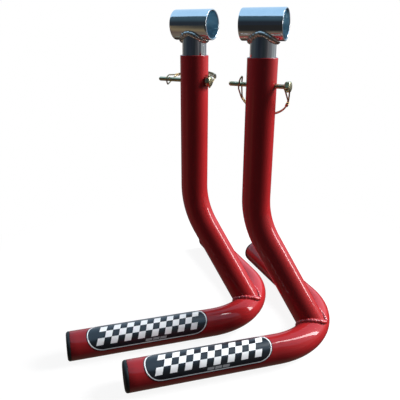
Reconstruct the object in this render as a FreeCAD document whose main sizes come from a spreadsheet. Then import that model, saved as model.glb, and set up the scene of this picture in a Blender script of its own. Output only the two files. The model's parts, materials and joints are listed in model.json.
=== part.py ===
"""A pair of paddock stands: bent red tubes on a V-shaped base, with a height-adjustable T-head.

Each stand is a hairpin base tube lying on the floor, a leaning tube welded to the nose of the
hairpin that bends upright, and a plated T-head that slides into the top of the column and is held
by a cross pin with a wire bow. The two stands are the same product standing side by side.

A stand's own frame has its origin on the floor, on the column's axis, with +Z up, +X towards the
nose of the base and +Y towards the rear arm. Units are millimetres and degrees.
"""
import FreeCAD
import Part
import Sketcher
import math
import os
import re

from FreeCAD import Placement, Rotation, Vector

doc = FreeCAD.newDocument("paddock_stand")
X_AXIS, Y_AXIS, Z_AXIS = Vector(1, 0, 0), Vector(0, 1, 0), Vector(0, 0, 1)
FULL_TURN = 360

# ---------------------------------------------------------------- driving dimensions

DIMENSIONS = [
    ("tube_od", 40, "outside diameter of the base and column tube"),
    ("tube_wall", 2.5, "wall of the base and column tube"),
    ("nose_x", 98.6, "centreline of the base tube at the nose of the hairpin"),
    ("base_bend", 100, "centreline radius of the hairpin bend"),
    ("arm_angle", 42.5, "half of the opening angle between the arms"),
    ("front_straight", 203.2, "straight length of the front arm"),
    ("rear_straight", 180, "straight length of the rear arm"),
    ("column_top", 396, "height of the column's open top"),
    ("column_bend", 120, "centreline radius of the column's bend"),
    ("column_lean", 33.36, "lean of the lower part, from upright"),
    ("weld_gap", 0.3, "root gap of the coped column foot"),
    ("weld_leg", 2.5, "leg of the weld beads"),
    ("cap_flange", 5, "thickness of an end cap outside the tube"),
    ("cap_round", 3.5, "rounding of an end cap's rim"),
    ("cap_plug", 16, "length of an end cap inside the tube"),
    ("cap_wall", 2, "wall of an end cap's hollow plug"),
    ("cap_play", 0.05, "radial play of the plug in the tube"),
    ("label_thick", 0.25, "thickness of the film label"),
    ("label_span", 171, "length of the label along the arm"),
    ("label_half", 18.2, "half width of the label seen square on"),
    ("stem_od", 33.7, "outside diameter of the head's stem"),
    ("stem_wall", 2.6, "wall of the head's stem"),
    ("stem_foot", 241, "height of the stem's lower end"),
    ("sleeve_od", 40, "outside diameter of the cross sleeve"),
    ("sleeve_id", 36, "bore of the cross sleeve"),
    ("sleeve_span", 57, "length of the cross sleeve"),
    ("sleeve_height", 436, "height of the cross sleeve's axis"),
    ("sleeve_edge", 0.5, "chamfer on the sleeve's ends"),
    ("pin_height", 361, "height of the cross pin"),
    ("pin_turn", -3.8, "angle of the pin's hole from the stand's X axis"),
    ("pin_od", 6, "diameter of the pin"),
    ("pin_span", 80.5, "length of the pin under its head"),
    ("pin_tip", 1.2, "chamfer on the pin's tip"),
    ("column_hole", 7.5, "pin hole in the column"),
    ("stem_hole", 8, "pin holes in the stem"),
    ("hole_pitch", 25, "distance between the stem's holes, one height step"),
    ("hole_count", 5, "number of heights"),
    ("head_flats", 13, "pin head across flats"),
    ("head_thick", 7, "thickness of the pin's head"),
    ("head_socket", 3.5, "depth of the rod in its head"),
    ("head_play", 0.05, "radial play of the rod in its head"),
    ("head_gap", 0.2, "gap between the pin's head and the column when it is pushed home"),
    ("wire_od", 2, "diameter of the bow's spring wire"),
    ("wire_hole", 2.2, "hole in the pin's head for the bow's ends"),
    ("bow_span", 73, "span of the bow along the pin"),
    ("bow_depth", 47.5, "reach of the bow from the pin"),
    ("bow_waist", 25, "distance from the pin at which the bow's strands meet"),
    ("bow_inset", 3.8, "how far the strands lean in by the waist"),
    ("bow_stand_off", 3.2, "distance of the strands' first corner from the head's flats"),
    ("bow_bend", 1.6, "bend radius of the strands where they leave the head"),
    ("bow_lead", 3.2, "straight run between the bow's back and the corner at its waist"),
    ("bow_ease", 12, "bend radius of the gentle corners"),
    ("bow_loop", 5.5, "half width of the loop that closes round the pin, and its end's radius"),
    ("bow_apex", 11, "reach of the loop past the pin"),
    ("loop_at", 68.5, "distance from the bow's hinge to its loop, along the pin"),
    ("loop_lean", 4.6, "how far the loop's end leans back towards the head"),
    ("strand_gap", 0.1, "gap between the two strands of the bow"),
    ("crimp_span", 5, "length of the ferrule that joins the strands"),
    ("crimp_wall", 0.9, "wall of the ferrule"),
    ("crimp_play", 0.15, "gap between the ferrule and the strands"),
    ("crimp_from_waist", 3.5, "distance of the ferrule's middle from the waist"),
    ("tiny", 0.000001, "length below which a straight is left out"),
    ("left_x", -62.85, "left stand's column axis"),
    ("left_y", 15.4, "left stand's column axis"),
    ("left_turn", 0, "left stand's heading"),
    ("left_sleeve_turn", -2.5, "left head's heading"),
    ("left_pin_out", 0, "how far the left pin is drawn out"),
    ("left_bow_drop", -10, "how far the left bow hangs below level"),
    ("left_label_start", 21.6, "left label's distance from the arm's end"),
    ("left_label_turn", 31, "left label's tilt towards the outside of the arm"),
    ("right_x", 43.65, "right stand's column axis"),
    ("right_y", -0.5, "right stand's column axis"),
    ("right_turn", -0.63, "right stand's heading"),
    ("right_sleeve_turn", 3.6, "right head's heading from its stand"),
    ("right_pin_out", 13.2, "how far the right pin is drawn out"),
    ("right_bow_drop", 58, "how far the right bow hangs below level"),
    ("right_label_start", 19.4, "right label's distance from the arm's end"),
    ("right_label_turn", 27, "right label's tilt towards the outside of the arm"),
]

ALIASES = {alias for alias, _, _ in DIMENSIONS}
STRAIGHTS = {-1: "front_straight", 1: "rear_straight"}

sizes = doc.addObject("Spreadsheet::Sheet", "sizes")
for row, (alias, number, meaning) in enumerate(DIMENSIONS, start=1):
    sizes.set(f"A{row}", str(number))
    sizes.setAlias(f"A{row}", alias)
    sizes.set(f"B{row}", meaning)
doc.recompute()


def value(formula):
    """The number that a formula in the sheet's aliases stands for."""
    return float(sizes.evalExpression(bound(formula)))


def bound(formula):
    """A formula with each alias written the way other objects refer to it."""
    return re.sub("[a-z_][a-z0-9_]*", lambda word: "sizes." * (word[0] in ALIASES) + word[0], formula)


# ---------------------------------------------------------------- sketch and feature helpers

def new_body(label):
    body = doc.addObject("PartDesign::Body", label)
    body.Label = label
    return body


def origin_plane(body, role):
    return next(f for f in body.Origin.OriginFeatures if f.Role == role)


def new_sketch(body, name, role, shift=("0", "0", "0")):
    """A sketch flat on one of the body's origin planes, shifted by formulas in its own axes."""
    sketch = body.newObject("Sketcher::SketchObject", name)
    sketch.AttachmentSupport = [(origin_plane(body, role), "")]
    sketch.MapMode = "FlatFace"
    for letter, formula in zip("xyz", shift):
        if formula != "0":
            sketch.setExpression(f"AttachmentOffset.Base.{letter}", bound(formula))
    return sketch


def turn_sketch(sketch, formula):
    """Turn a sketch on a vertical plane about the upright axis, which is its own Y axis."""
    sketch.AttachmentOffset = Placement(sketch.AttachmentOffset.Base, Rotation(Y_AXIS, value(formula)))
    sketch.setExpression("AttachmentOffset.Rotation.Angle", bound(formula))


def dimension(sketch, name, kind, formula, *points):
    """A named dimension on a sketch, bound to a formula."""
    number = value(formula)
    if kind == "Angle":
        number = math.radians(number)
    index = sketch.addConstraint(Sketcher.Constraint(kind, *points, number))
    sketch.renameConstraint(index, name)
    unit = " * 1 deg" if kind == "Angle" else ""
    sketch.setExpression(f"Constraints.{name}", f"({bound(formula)}){unit}")


def add_circle(sketch, name, diameter, x="0", y="0"):
    """A circle with its diameter and centre bound to formulas."""
    centre = Vector(value(x), value(y), 0)
    circle = sketch.addGeometry(Part.Circle(centre, Z_AXIS, value(diameter) / 2))
    if x == "0" and y == "0":
        sketch.addConstraint(Sketcher.Constraint("Coincident", circle, 3, -1, 1))
    elif x == "0":
        sketch.addConstraint(Sketcher.Constraint("PointOnObject", circle, 3, -2))
        dimension(sketch, name + "_y", "DistanceY", y, -1, 1, circle, 3)
    else:
        dimension(sketch, name + "_x", "DistanceX", x, -1, 1, circle, 3)
        dimension(sketch, name + "_y", "DistanceY", y, -1, 1, circle, 3)
    dimension(sketch, name, "Diameter", diameter, circle)
    return circle


def add_outline(sketch, points):
    """A closed outline of straight lines whose corners are bound to (x, y) formulas."""
    corners = [Vector(value(x), value(y), 0) for x, y in points]
    lines = [
        sketch.addGeometry(Part.LineSegment(corner, corners[(n + 1) % len(corners)]))
        for n, corner in enumerate(corners)
    ]
    for n, (x, y) in enumerate(points):
        sketch.addConstraint(Sketcher.Constraint("Coincident", lines[n - 1], 2, lines[n], 1))
        for kind, formula in (("DistanceX", x), ("DistanceY", y)):
            if formula == "0":
                axis = -2 if kind == "DistanceX" else -1
                sketch.addConstraint(Sketcher.Constraint("PointOnObject", lines[n], 1, axis))
            else:
                dimension(sketch, f"corner{n}_{kind[-1]}", kind, formula, -1, 1, lines[n], 1)
    return lines


def pad(body, name, sketch, length, symmetric=False):
    feature = body.newObject("PartDesign::Pad", name)
    feature.Profile = sketch
    feature.SideType = "Symmetric" if symmetric else "One side"
    feature.setExpression("Length", bound(length))
    sketch.Visibility = False
    return feature


def cut_through(body, name, sketch, length):
    """A pocket to both sides of its sketch."""
    feature = body.newObject("PartDesign::Pocket", name)
    feature.Profile = sketch
    feature.SideType = "Symmetric"
    feature.setExpression("Length", bound(length))
    return feature


def sweep(body, name, profile, path):
    """A tube made by sweeping a ring along a path."""
    feature = body.newObject("PartDesign::AdditivePipe", name)
    feature.Profile = profile
    feature.Spine = (path, [f"Edge{n + 1}" for n in range(path.GeometryCount)])
    return feature


def primitive(kind, name, placement=None, **formulas):
    """A Part primitive with its properties bound to formulas."""
    shape = doc.addObject("Part::" + kind, name)
    for key, formula in formulas.items():
        shape.setExpression(key, bound(formula))
    if placement:
        shape.Placement = placement
    return shape


def combine(kind, name, shapes):
    """A cut of two shapes, or the fusion or common volume of several."""
    result = doc.addObject("Part::" + kind, name)
    if kind == "Cut":
        result.Base, result.Tool = shapes
    else:
        result.Shapes = shapes
    return result


def along(direction):
    """The turn that carries +Z onto a direction."""
    return Rotation(Z_AXIS, direction)


# ---------------------------------------------------------------- the frame's pieces

def arm_path(body, name, way):
    """Half of the hairpin's centreline: its nose and the front arm (way -1) or the rear arm (way 1)."""
    path = new_sketch(body, name, "XY_Plane", ("0", "0", "tube_od / 2"))
    radius, half = value("base_bend"), math.radians(value("arm_angle"))
    centre = Vector(value("nose_x - base_bend"), 0, 0)
    leave = centre + Vector(math.sin(half), way * math.cos(half), 0) * radius
    end = leave + Vector(-math.cos(half), way * math.sin(half), 0) * value(STRAIGHTS[way])
    first_angle, last_angle = sorted((0, way * (math.pi / 2 - half)))
    circle = Part.Circle(centre, Z_AXIS, radius)
    bend = path.addGeometry(Part.ArcOfCircle(circle, first_angle, last_angle))
    if way < 0:
        arm = path.addGeometry(Part.LineSegment(end, leave))
        at_nose, at_arm, at_bend, opening = 2, 1, 2, "arm_angle"
    else:
        arm = path.addGeometry(Part.LineSegment(leave, end))
        at_nose, at_arm, at_bend, opening = 1, 2, 1, "180 - arm_angle"
    path.addConstraint(Sketcher.Constraint("PointOnObject", bend, 3, -1))
    path.addConstraint(Sketcher.Constraint("PointOnObject", bend, at_nose, -1))
    path.addConstraint(Sketcher.Constraint("Tangent", bend, at_arm, arm, at_bend))
    dimension(path, "nose", "DistanceX", "nose_x", -1, 1, bend, at_nose)
    dimension(path, "radius", "Radius", "base_bend", bend)
    dimension(path, "opening", "Angle", opening, arm)
    dimension(path, "straight", "Distance", STRAIGHTS[way], arm)
    return path


def base_tube(label):
    """The hairpin on the floor, swept from its nose down each arm."""
    body = new_body(label)
    ring = new_sketch(body, label + "_ring", "XZ_Plane")
    add_circle(ring, "outside", "tube_od", "nose_x", "tube_od / 2")
    add_circle(ring, "inside", "tube_od - 2 * tube_wall", "nose_x", "tube_od / 2")
    sweep(body, label + "_front", ring, arm_path(body, label + "_front_path", -1))
    body.Tip = sweep(body, label + "_rear", ring, arm_path(body, label + "_rear_path", 1))
    return body


def upright_tube(label):
    """The column: swept down from its open top, coped onto the base tube and drilled for the pin."""
    body = new_body(label)
    path = new_sketch(body, label + "_path", "XZ_Plane")
    lean, radius = math.radians(value("column_lean")), value("column_bend")
    top, foot = Vector(0, value("column_top"), 0), Vector(value("nose_x"), value("tube_od / 2"), 0)
    corner = foot.y + foot.x / math.tan(lean)
    above = Vector(0, corner + radius * math.tan(lean / 2), 0)
    centre = above + Vector(radius, 0, 0)
    below = centre + Vector(-math.cos(lean), -math.sin(lean), 0) * radius
    upper = path.addGeometry(Part.LineSegment(top, above))
    circle = Part.Circle(centre, Z_AXIS, radius)
    bend = path.addGeometry(Part.ArcOfCircle(circle, math.pi, math.pi + lean))
    lower = path.addGeometry(Part.LineSegment(foot, below))
    path.addConstraint(Sketcher.Constraint("PointOnObject", upper, 1, -2))
    path.addConstraint(Sketcher.Constraint("PointOnObject", upper, 2, -2))
    path.addConstraint(Sketcher.Constraint("Tangent", upper, 2, bend, 1))
    path.addConstraint(Sketcher.Constraint("Tangent", bend, 2, lower, 2))
    dimension(path, "top", "DistanceY", "column_top", -1, 1, upper, 1)
    dimension(path, "foot_x", "DistanceX", "nose_x", -1, 1, lower, 1)
    dimension(path, "foot_y", "DistanceY", "tube_od / 2", -1, 1, lower, 1)
    dimension(path, "radius", "Radius", "column_bend", bend)
    dimension(path, "lean", "Angle", "90 + column_lean", lower)
    ring = new_sketch(body, label + "_ring", "XY_Plane", ("0", "0", "column_top"))
    add_circle(ring, "outside", "tube_od")
    add_circle(ring, "inside", "tube_od - 2 * tube_wall")
    sweep(body, label + "_sweep", ring, path)
    saddle = new_sketch(body, label + "_saddle", "XZ_Plane", ("nose_x - base_bend", "0", "0"))
    add_circle(saddle, "saddle", "tube_od + 2 * weld_gap", "base_bend", "tube_od / 2")
    cope = body.newObject("PartDesign::Groove", label + "_cope")
    cope.Profile = saddle
    cope.ReferenceAxis = (saddle, ["V_Axis"])
    cope.Angle = FULL_TURN
    hole = new_sketch(body, label + "_hole", "YZ_Plane")
    turn_sketch(hole, "pin_turn")
    add_circle(hole, "hole", "column_hole", "0", "pin_height")
    drill = cut_through(body, label + "_drill", hole, "2 * tube_od")
    body.Tip = drill
    return body


def foot_weld(label):
    """The bead round the column's foot: where both tubes, grown by the leg, meet outside the tubes."""
    lean = value("column_lean")
    foot = Vector(value("nose_x"), 0, value("tube_od / 2"))
    up = Vector(-math.sin(math.radians(lean)), 0, math.cos(math.radians(lean)))
    column = Placement(foot, along(up))
    hairpin = Placement(Vector(value("nose_x - base_bend"), 0, value("tube_od / 2")), Rotation())

    def pair(name, grow):
        around = primitive(
            "Cylinder",
            f"{label}_{name}_column",
            column,
            Radius=f"tube_od / 2 + {grow}",
            Height="2 * tube_od",
        )
        along_base = primitive(
            "Torus", f"{label}_{name}_base", hairpin, Radius1="base_bend", Radius2=f"tube_od / 2 + {grow}"
        )
        return around, along_base

    grown = combine("MultiCommon", label + "_grown", list(pair("outer", "weld_leg")))
    tubes = combine("MultiFuse", label + "_tubes", list(pair("inner", "0")))
    return combine("Cut", label, (grown, tubes))


def end_cap(label):
    """A moulded plug, made along +Z out of the tube's end."""
    body = new_body(label)
    outline = new_sketch(body, label + "_outline", "XZ_Plane")
    radius, thick, rounding = "tube_od / 2", "cap_flange", "cap_round"
    bore = "tube_od / 2 - tube_wall - cap_play"
    points = [
        ("0", thick),
        ("0", "cap_flange - cap_wall"),
        (f"{bore} - cap_wall", "cap_flange - cap_wall"),
        (f"{bore} - cap_wall", "-cap_plug"),
        (bore, "-cap_plug"),
        (bore, "0"),
        (radius, "0"),
        (radius, thick),
    ]
    add_outline(outline, points)
    turned = body.newObject("PartDesign::Revolution", label + "_turned")
    turned.Profile = outline
    turned.ReferenceAxis = (outline, ["V_Axis"])
    turned.Angle = FULL_TURN
    doc.recompute()
    rim = [
        f"Edge{n + 1}"
        for n, edge in enumerate(turned.Shape.Edges)
        if abs(edge.BoundBox.ZMin - value(thick)) < 1e-6 and edge.Length > 1
    ]
    rounded = body.newObject("PartDesign::Fillet", label + "_rounded")
    rounded.Base = (turned, rim)
    rounded.setExpression("Radius", bound(rounding))
    body.Tip = rounded
    return body


def film_label(label, side):
    """A pill-shaped film wrapped over the front arm; its frame runs along the arm from its end."""
    start, tilt = f"{side}_label_start", value(f"{side}_label_turn")
    lengthwise = Placement(Vector(value(start), 0, 0), along(X_AXIS))
    outside = primitive(
        "Cylinder", label + "_outside", lengthwise, Radius="tube_od / 2 + label_thick", Height="label_span"
    )
    inside = primitive("Cylinder", label + "_inside", lengthwise, Radius="tube_od / 2", Height="label_span")
    film = combine("Cut", label + "_film", (outside, inside))
    lean = Placement(Vector(), Rotation(X_AXIS, tilt))
    half, span = value("label_half"), value("label_span")
    slab = primitive(
        "Box",
        label + "_slab",
        lean * Placement(Vector(value(start) + half, -half, 0), Rotation()),
        Length="label_span - 2 * label_half",
        Width="2 * label_half",
        Height="tube_od",
    )
    ends = [
        primitive(
            "Cylinder",
            f"{label}_end{n}",
            lean * Placement(Vector(value(start) + offset, 0, 0), Rotation()),
            Radius="label_half",
            Height="tube_od",
        )
        for n, offset in enumerate((half, span - half))
    ]
    pill = combine("MultiFuse", label + "_pill", [slab] + ends)
    return combine("MultiCommon", label, [film, pill])


# ---------------------------------------------------------------- the T-head's pieces

def head_stem(label, side):
    """The pipe that slides in the column: coped to the sleeve, with a row of pin holes."""
    body = new_body(label)
    ring = new_sketch(body, label + "_ring", "XY_Plane", ("0", "0", "stem_foot"))
    add_circle(ring, "outside", "stem_od")
    add_circle(ring, "inside", "stem_od - 2 * stem_wall")
    pad(body, label + "_pipe", ring, "sleeve_height - sleeve_od / 4 - stem_foot")
    saddle = new_sketch(body, label + "_saddle", "YZ_Plane")
    turn_sketch(saddle, f"{side}_sleeve_turn")
    add_circle(saddle, "saddle", "sleeve_od", "0", "sleeve_height")
    cut_through(body, label + "_cope", saddle, "2 * stem_od")
    hole = new_sketch(body, label + "_hole", "YZ_Plane")
    turn_sketch(hole, "pin_turn")
    add_circle(hole, "hole", "stem_hole", "0", "pin_height")
    drill = cut_through(body, label + "_drill", hole, "2 * stem_od")
    row = body.newObject("PartDesign::LinearPattern", label + "_row")
    row.Originals = [drill]
    row.Direction = (hole, ["V_Axis"])
    row.Reversed = True
    row.setExpression("Length", bound("hole_pitch * (hole_count - 1)"))
    row.setExpression("Occurrences", bound("hole_count"))
    body.Tip = row
    return body


def head_sleeve(label):
    """The cross sleeve, made along X about its own centre, with broken edges."""
    body = new_body(label)
    ring = new_sketch(body, label + "_ring", "YZ_Plane")
    add_circle(ring, "outside", "sleeve_od")
    add_circle(ring, "inside", "sleeve_id")
    tube = pad(body, label + "_tube", ring, "sleeve_span", symmetric=True)
    doc.recompute()
    rims = [f"Edge{n + 1}" for n, edge in enumerate(tube.Shape.Edges) if edge.BoundBox.XLength < 1e-6]
    broken = body.newObject("PartDesign::Chamfer", label + "_broken")
    broken.Base = (tube, rims)
    broken.setExpression("Size", bound("sleeve_edge"))
    body.Tip = broken
    return body


def head_weld(label):
    """The bead between stem and sleeve, made about the sleeve's centre with the sleeve along X."""
    lengthwise = Placement(Vector(-value("sleeve_span") / 2, 0, 0), along(X_AXIS))
    below = Placement(Vector(0, 0, -value("sleeve_od")), Rotation())

    def pair(name, grow):
        around = primitive(
            "Cylinder", f"{label}_{name}_stem", below, Radius=f"stem_od / 2 + {grow}", Height="sleeve_od"
        )
        across = primitive(
            "Cylinder",
            f"{label}_{name}_sleeve",
            lengthwise,
            Radius=f"sleeve_od / 2 + {grow}",
            Height="sleeve_span",
        )
        return around, across

    grown = combine("MultiCommon", label + "_grown", list(pair("outer", "weld_leg")))
    pipes = combine("MultiFuse", label + "_pipes", list(pair("inner", "0")))
    return combine("Cut", label, (grown, pipes))


# ---------------------------------------------------------------- the pin's pieces
# The pin's frame has its origin under the head: +Z along the pin out through the head, +Y the way
# the bow reaches, and X along the hole in the head that the bow's ends turn in.

def pin_rod(label):
    """The round rod, with a chamfered tip and its upper end seated in the head."""
    body = new_body(label)
    outline = new_sketch(body, label + "_outline", "XZ_Plane")
    points = [
        ("0", "-pin_span"),
        ("pin_od / 2 - pin_tip", "-pin_span"),
        ("pin_od / 2", "pin_tip - pin_span"),
        ("pin_od / 2", "head_socket"),
        ("0", "head_socket"),
    ]
    add_outline(outline, points)
    turned = body.newObject("PartDesign::Revolution", label + "_turned")
    turned.Profile = outline
    turned.ReferenceAxis = (outline, ["V_Axis"])
    turned.Angle = FULL_TURN
    body.Tip = turned
    return body


def pin_head(label):
    """The six-sided head with a turned outer edge, a socket for the rod and a hole for the bow."""
    flat_to_side = Placement(Vector(), Rotation(Z_AXIS, 30))
    hexagon = primitive(
        "Prism",
        label + "_hexagon",
        flat_to_side,
        Circumradius="head_flats / 2 / cos(30)",
        Height="head_thick",
    )
    hexagon.Polygon = 6
    turned = primitive(
        "Cone",
        label + "_turned",
        Radius1="head_flats / 2 + head_thick * tan(60)",
        Radius2="head_flats / 2",
        Height="head_thick",
    )
    blank = combine("MultiCommon", label + "_blank", [hexagon, turned])
    socket = primitive(
        "Cylinder", label + "_socket", Radius="pin_od / 2 + head_play", Height="head_socket + head_play"
    )
    across = Placement(Vector(-value("head_flats"), 0, value("head_thick / 2")), along(X_AXIS))
    wire = primitive(
        "Cylinder", label + "_wire", across, Radius="wire_hole / 2", Height="2 * head_flats"
    )
    holes = combine("MultiFuse", label + "_holes", [socket, wire])
    return combine("Cut", label, (blank, holes))


def rounded_path(corners):
    """Straights joined by arcs: each corner is a point and its bend radius, but for the two ends."""
    start = corners[0][0]
    edges = []
    for (before, _), (corner, radius), (after, _) in zip(corners, corners[1:], corners[2:]):
        back, ahead = (before - corner).normalize(), (after - corner).normalize()
        half_angle = back.getAngle(ahead) / 2
        reach = radius / math.tan(half_angle)
        inward = (back + ahead).normalize() * (radius / math.sin(half_angle) - radius)
        first, last = corner + back * reach, corner + ahead * reach
        if first.distanceToPoint(start) > value("tiny"):
            edges.append(Part.LineSegment(start, first).toShape())
        edges.append(Part.Arc(first, corner + inward, last).toShape())
        start = last
    edges.append(Part.LineSegment(start, corners[-1][0]).toShape())
    return Part.Wire(edges)


def back_arc():
    """The arc of the bow's back: its radius, its middle's Y and Z, and the angle it turns each way."""
    half_chord, rise = value("bow_span / 2 - bow_inset"), value("bow_depth - bow_waist")
    radius = (half_chord ** 2 + rise ** 2) / (2 * rise)
    centre_y = value("bow_depth") - radius
    centre_z = value("head_thick / 2 - bow_span / 2")
    return radius, centre_y, centre_z, math.asin(half_chord / radius)


def bow_corners():
    """One half of the bow, from inside the head to the middle of its loop."""
    radius, centre_y, centre_z, reach = back_arc()
    hinge_z, loop_z = value("head_thick / 2"), value("head_thick / 2 - loop_at")
    end_z = loop_z + value("loop_lean")
    near, lead = value("wire_od / 2 + strand_gap / 2"), value("bow_lead")

    def beside(angle, out, ahead):
        """A point of the plane that one strand lies in, out from the arc's middle and ahead of it."""
        spoke = Vector(0, math.cos(angle), math.sin(angle))
        way = Vector(0, math.sin(angle), -math.cos(angle))
        return Vector(near, centre_y, centre_z) + spoke * out + way * ahead

    tangent_corner = radius / math.cos(reach / 2)
    return [
        (Vector(value("pin_od / 2 + wire_od / 2 + strand_gap"), 0, hinge_z), None),
        (Vector(value("head_flats / 2 + bow_stand_off"), 0, hinge_z), value("bow_bend")),
        (beside(reach, radius, -lead), value("bow_ease")),
        (beside(reach / 2, tangent_corner, 0), radius),
        (beside(-reach / 2, tangent_corner, 0), radius),
        (beside(-reach, radius, lead), value("bow_ease")),
        (Vector(value("bow_loop"), value("pin_od / 2"), loop_z), value("bow_ease")),
        (Vector(value("bow_loop"), -value("bow_apex"), end_z), value("bow_loop")),
    ]


def retaining_bow(label):
    """The spring wire bent double; its ends turn in the head and its loop closes round the pin."""
    half = bow_corners()
    other = [(Vector(-point.x, point.y, point.z), bend) for point, bend in reversed(half)]
    spine = rounded_path(half + other)
    section = Part.Circle(half[0][0], X_AXIS, value("wire_od / 2")).toShape()
    wire = doc.addObject("Part::Feature", label)
    wire.Shape = spine.makePipe(Part.Face(Part.Wire(section)))
    return wire


def bow_crimp(label):
    """The ferrule squeezed round both strands just past the waist."""
    radius, centre_y, centre_z, reach = back_arc()
    angle = reach - value("crimp_from_waist") / radius
    spoke = Vector(0, math.cos(angle), math.sin(angle))
    direction = Vector(0, math.sin(angle), -math.cos(angle))
    middle = Vector(0, centre_y, centre_z) + spoke * radius
    seat = Placement(middle, Rotation(X_AXIS, spoke, direction, "ZXY"))
    bottom = -value("crimp_span") / 2
    offset = value("wire_od + strand_gap") / 2
    inside = "wire_od / 2 + crimp_play"
    shells = []
    for name, size in (("outside", inside + " + crimp_wall"), ("inside", inside)):
        rounds = [
            primitive(
                "Cylinder",
                f"{label}_{name}{n}",
                seat * Placement(Vector(shift, 0, bottom), Rotation()),
                Radius=size,
                Height="crimp_span",
            )
            for n, shift in enumerate((-offset, offset))
        ]
        block = primitive(
            "Box",
            f"{label}_{name}_block",
            seat * Placement(Vector(-offset, -value(size), bottom), Rotation()),
            Length="wire_od + strand_gap",
            Width=f"2 * ({size})",
            Height="crimp_span",
        )
        shells.append(combine("MultiFuse", f"{label}_{name}", rounds + [block]))
    return combine("Cut", label, shells)


# ---------------------------------------------------------------- the two stands

def arm_end(way):
    """Where the front (-1) or rear (1) arm's centreline ends, in the stand's frame, and its direction."""
    half = math.radians(value("arm_angle"))
    outward = Vector(-math.cos(half), way * math.sin(half), 0)
    leave = Vector(math.sin(half), way * math.cos(half), 0) * value("base_bend")
    centre = Vector(value("nose_x - base_bend"), 0, value("tube_od / 2"))
    return centre + leave + outward * value(STRAIGHTS[way]), outward


def build_stand(side):
    """All the sub-parts of one stand, each with its Label and its Placement."""
    stand = Placement(
        Vector(value(f"{side}_x"), value(f"{side}_y"), 0), Rotation(Z_AXIS, value(f"{side}_turn"))
    )
    front_end, front_way = arm_end(-1)
    rear_end, rear_way = arm_end(1)
    arm_frame = stand * Placement(front_end, Rotation(Z_AXIS, value("arm_angle")))
    sleeve = stand * Placement(
        Vector(0, 0, value("sleeve_height")), Rotation(Z_AXIS, value(f"{side}_sleeve_turn"))
    )
    pin_axis = stand * Placement(Vector(0, 0, value("pin_height")), Rotation(Z_AXIS, value("pin_turn")))
    seat = Vector(value(f"tube_od / 2 + head_gap + {side}_pin_out"), 0, 0)
    pin_upright = Rotation(Vector(0, 0, -1), Y_AXIS, X_AXIS, "ZYX")
    pin = pin_axis * Placement(seat, Rotation(X_AXIS, -value(f"{side}_bow_drop")) * pin_upright)
    return {
        base_tube(side + "_base_tube"): stand,
        upright_tube(side + "_upright_tube"): stand,
        foot_weld(side + "_foot_weld"): stand,
        end_cap(side + "_front_end_cap"): stand * Placement(front_end, along(front_way)),
        end_cap(side + "_rear_end_cap"): stand * Placement(rear_end, along(rear_way)),
        film_label(side + "_label", side): arm_frame,
        head_stem(side + "_head_stem", side): stand,
        head_sleeve(side + "_head_sleeve"): sleeve,
        head_weld(side + "_head_weld"): sleeve,
        pin_rod(side + "_pin_rod"): pin,
        pin_head(side + "_pin_head"): pin,
        retaining_bow(side + "_retaining_bow"): pin,
        bow_crimp(side + "_bow_crimp"): pin,
    }


sub_parts = {}
for side in ("left", "right"):
    sub_parts.update(build_stand(side))
for piece, placement in sub_parts.items():
    piece.Placement = placement
doc.recompute()

failed = [o.Name for o in doc.Objects if {"Invalid", "Error"} & set(o.State)]
if failed:
    raise RuntimeError(f"these objects did not compute: {failed}")
for piece in sub_parts:
    if piece.Shape.isNull() or not piece.Shape.isValid() or len(piece.Shape.Solids) != 1:
        raise RuntimeError(f"{piece.Label} is not one valid solid")

os.makedirs("parts", exist_ok=True)
whole = FreeCAD.BoundBox()
for piece in sub_parts:
    piece.Shape.exportStep(f"parts/{piece.Label}.step")
    whole.add(piece.Shape.BoundBox)
print("bounding box", whole)
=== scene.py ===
"""The looks of a pair of paddock stands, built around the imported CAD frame."""
import json
import math

import bmesh
import bpy
from mathutils import Matrix, Vector


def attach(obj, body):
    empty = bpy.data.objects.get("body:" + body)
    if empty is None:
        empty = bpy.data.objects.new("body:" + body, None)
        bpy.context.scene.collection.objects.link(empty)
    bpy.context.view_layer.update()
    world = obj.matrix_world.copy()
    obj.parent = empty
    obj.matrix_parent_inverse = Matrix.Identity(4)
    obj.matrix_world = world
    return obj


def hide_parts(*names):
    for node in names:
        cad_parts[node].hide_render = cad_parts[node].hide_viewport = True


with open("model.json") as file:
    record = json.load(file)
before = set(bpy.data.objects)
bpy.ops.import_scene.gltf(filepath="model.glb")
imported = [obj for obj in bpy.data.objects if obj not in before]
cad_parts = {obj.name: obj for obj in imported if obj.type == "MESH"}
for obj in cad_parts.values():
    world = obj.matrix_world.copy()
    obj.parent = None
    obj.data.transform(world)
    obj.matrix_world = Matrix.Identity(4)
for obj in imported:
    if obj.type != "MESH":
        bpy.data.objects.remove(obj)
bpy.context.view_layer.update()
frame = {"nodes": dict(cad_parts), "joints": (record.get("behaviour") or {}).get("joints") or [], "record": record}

MM = 0.001
SIDES = ("left", "right")
FRONT, REAR = -1, 1
Y, Z = Vector((0, 1, 0)), Vector((0, 0, 1))
JOINTS = {joint["name"]: joint for joint in frame["joints"]}
MOUNTS = {mount["name"]: mount for mount in frame["record"]["mounts"]}

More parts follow.
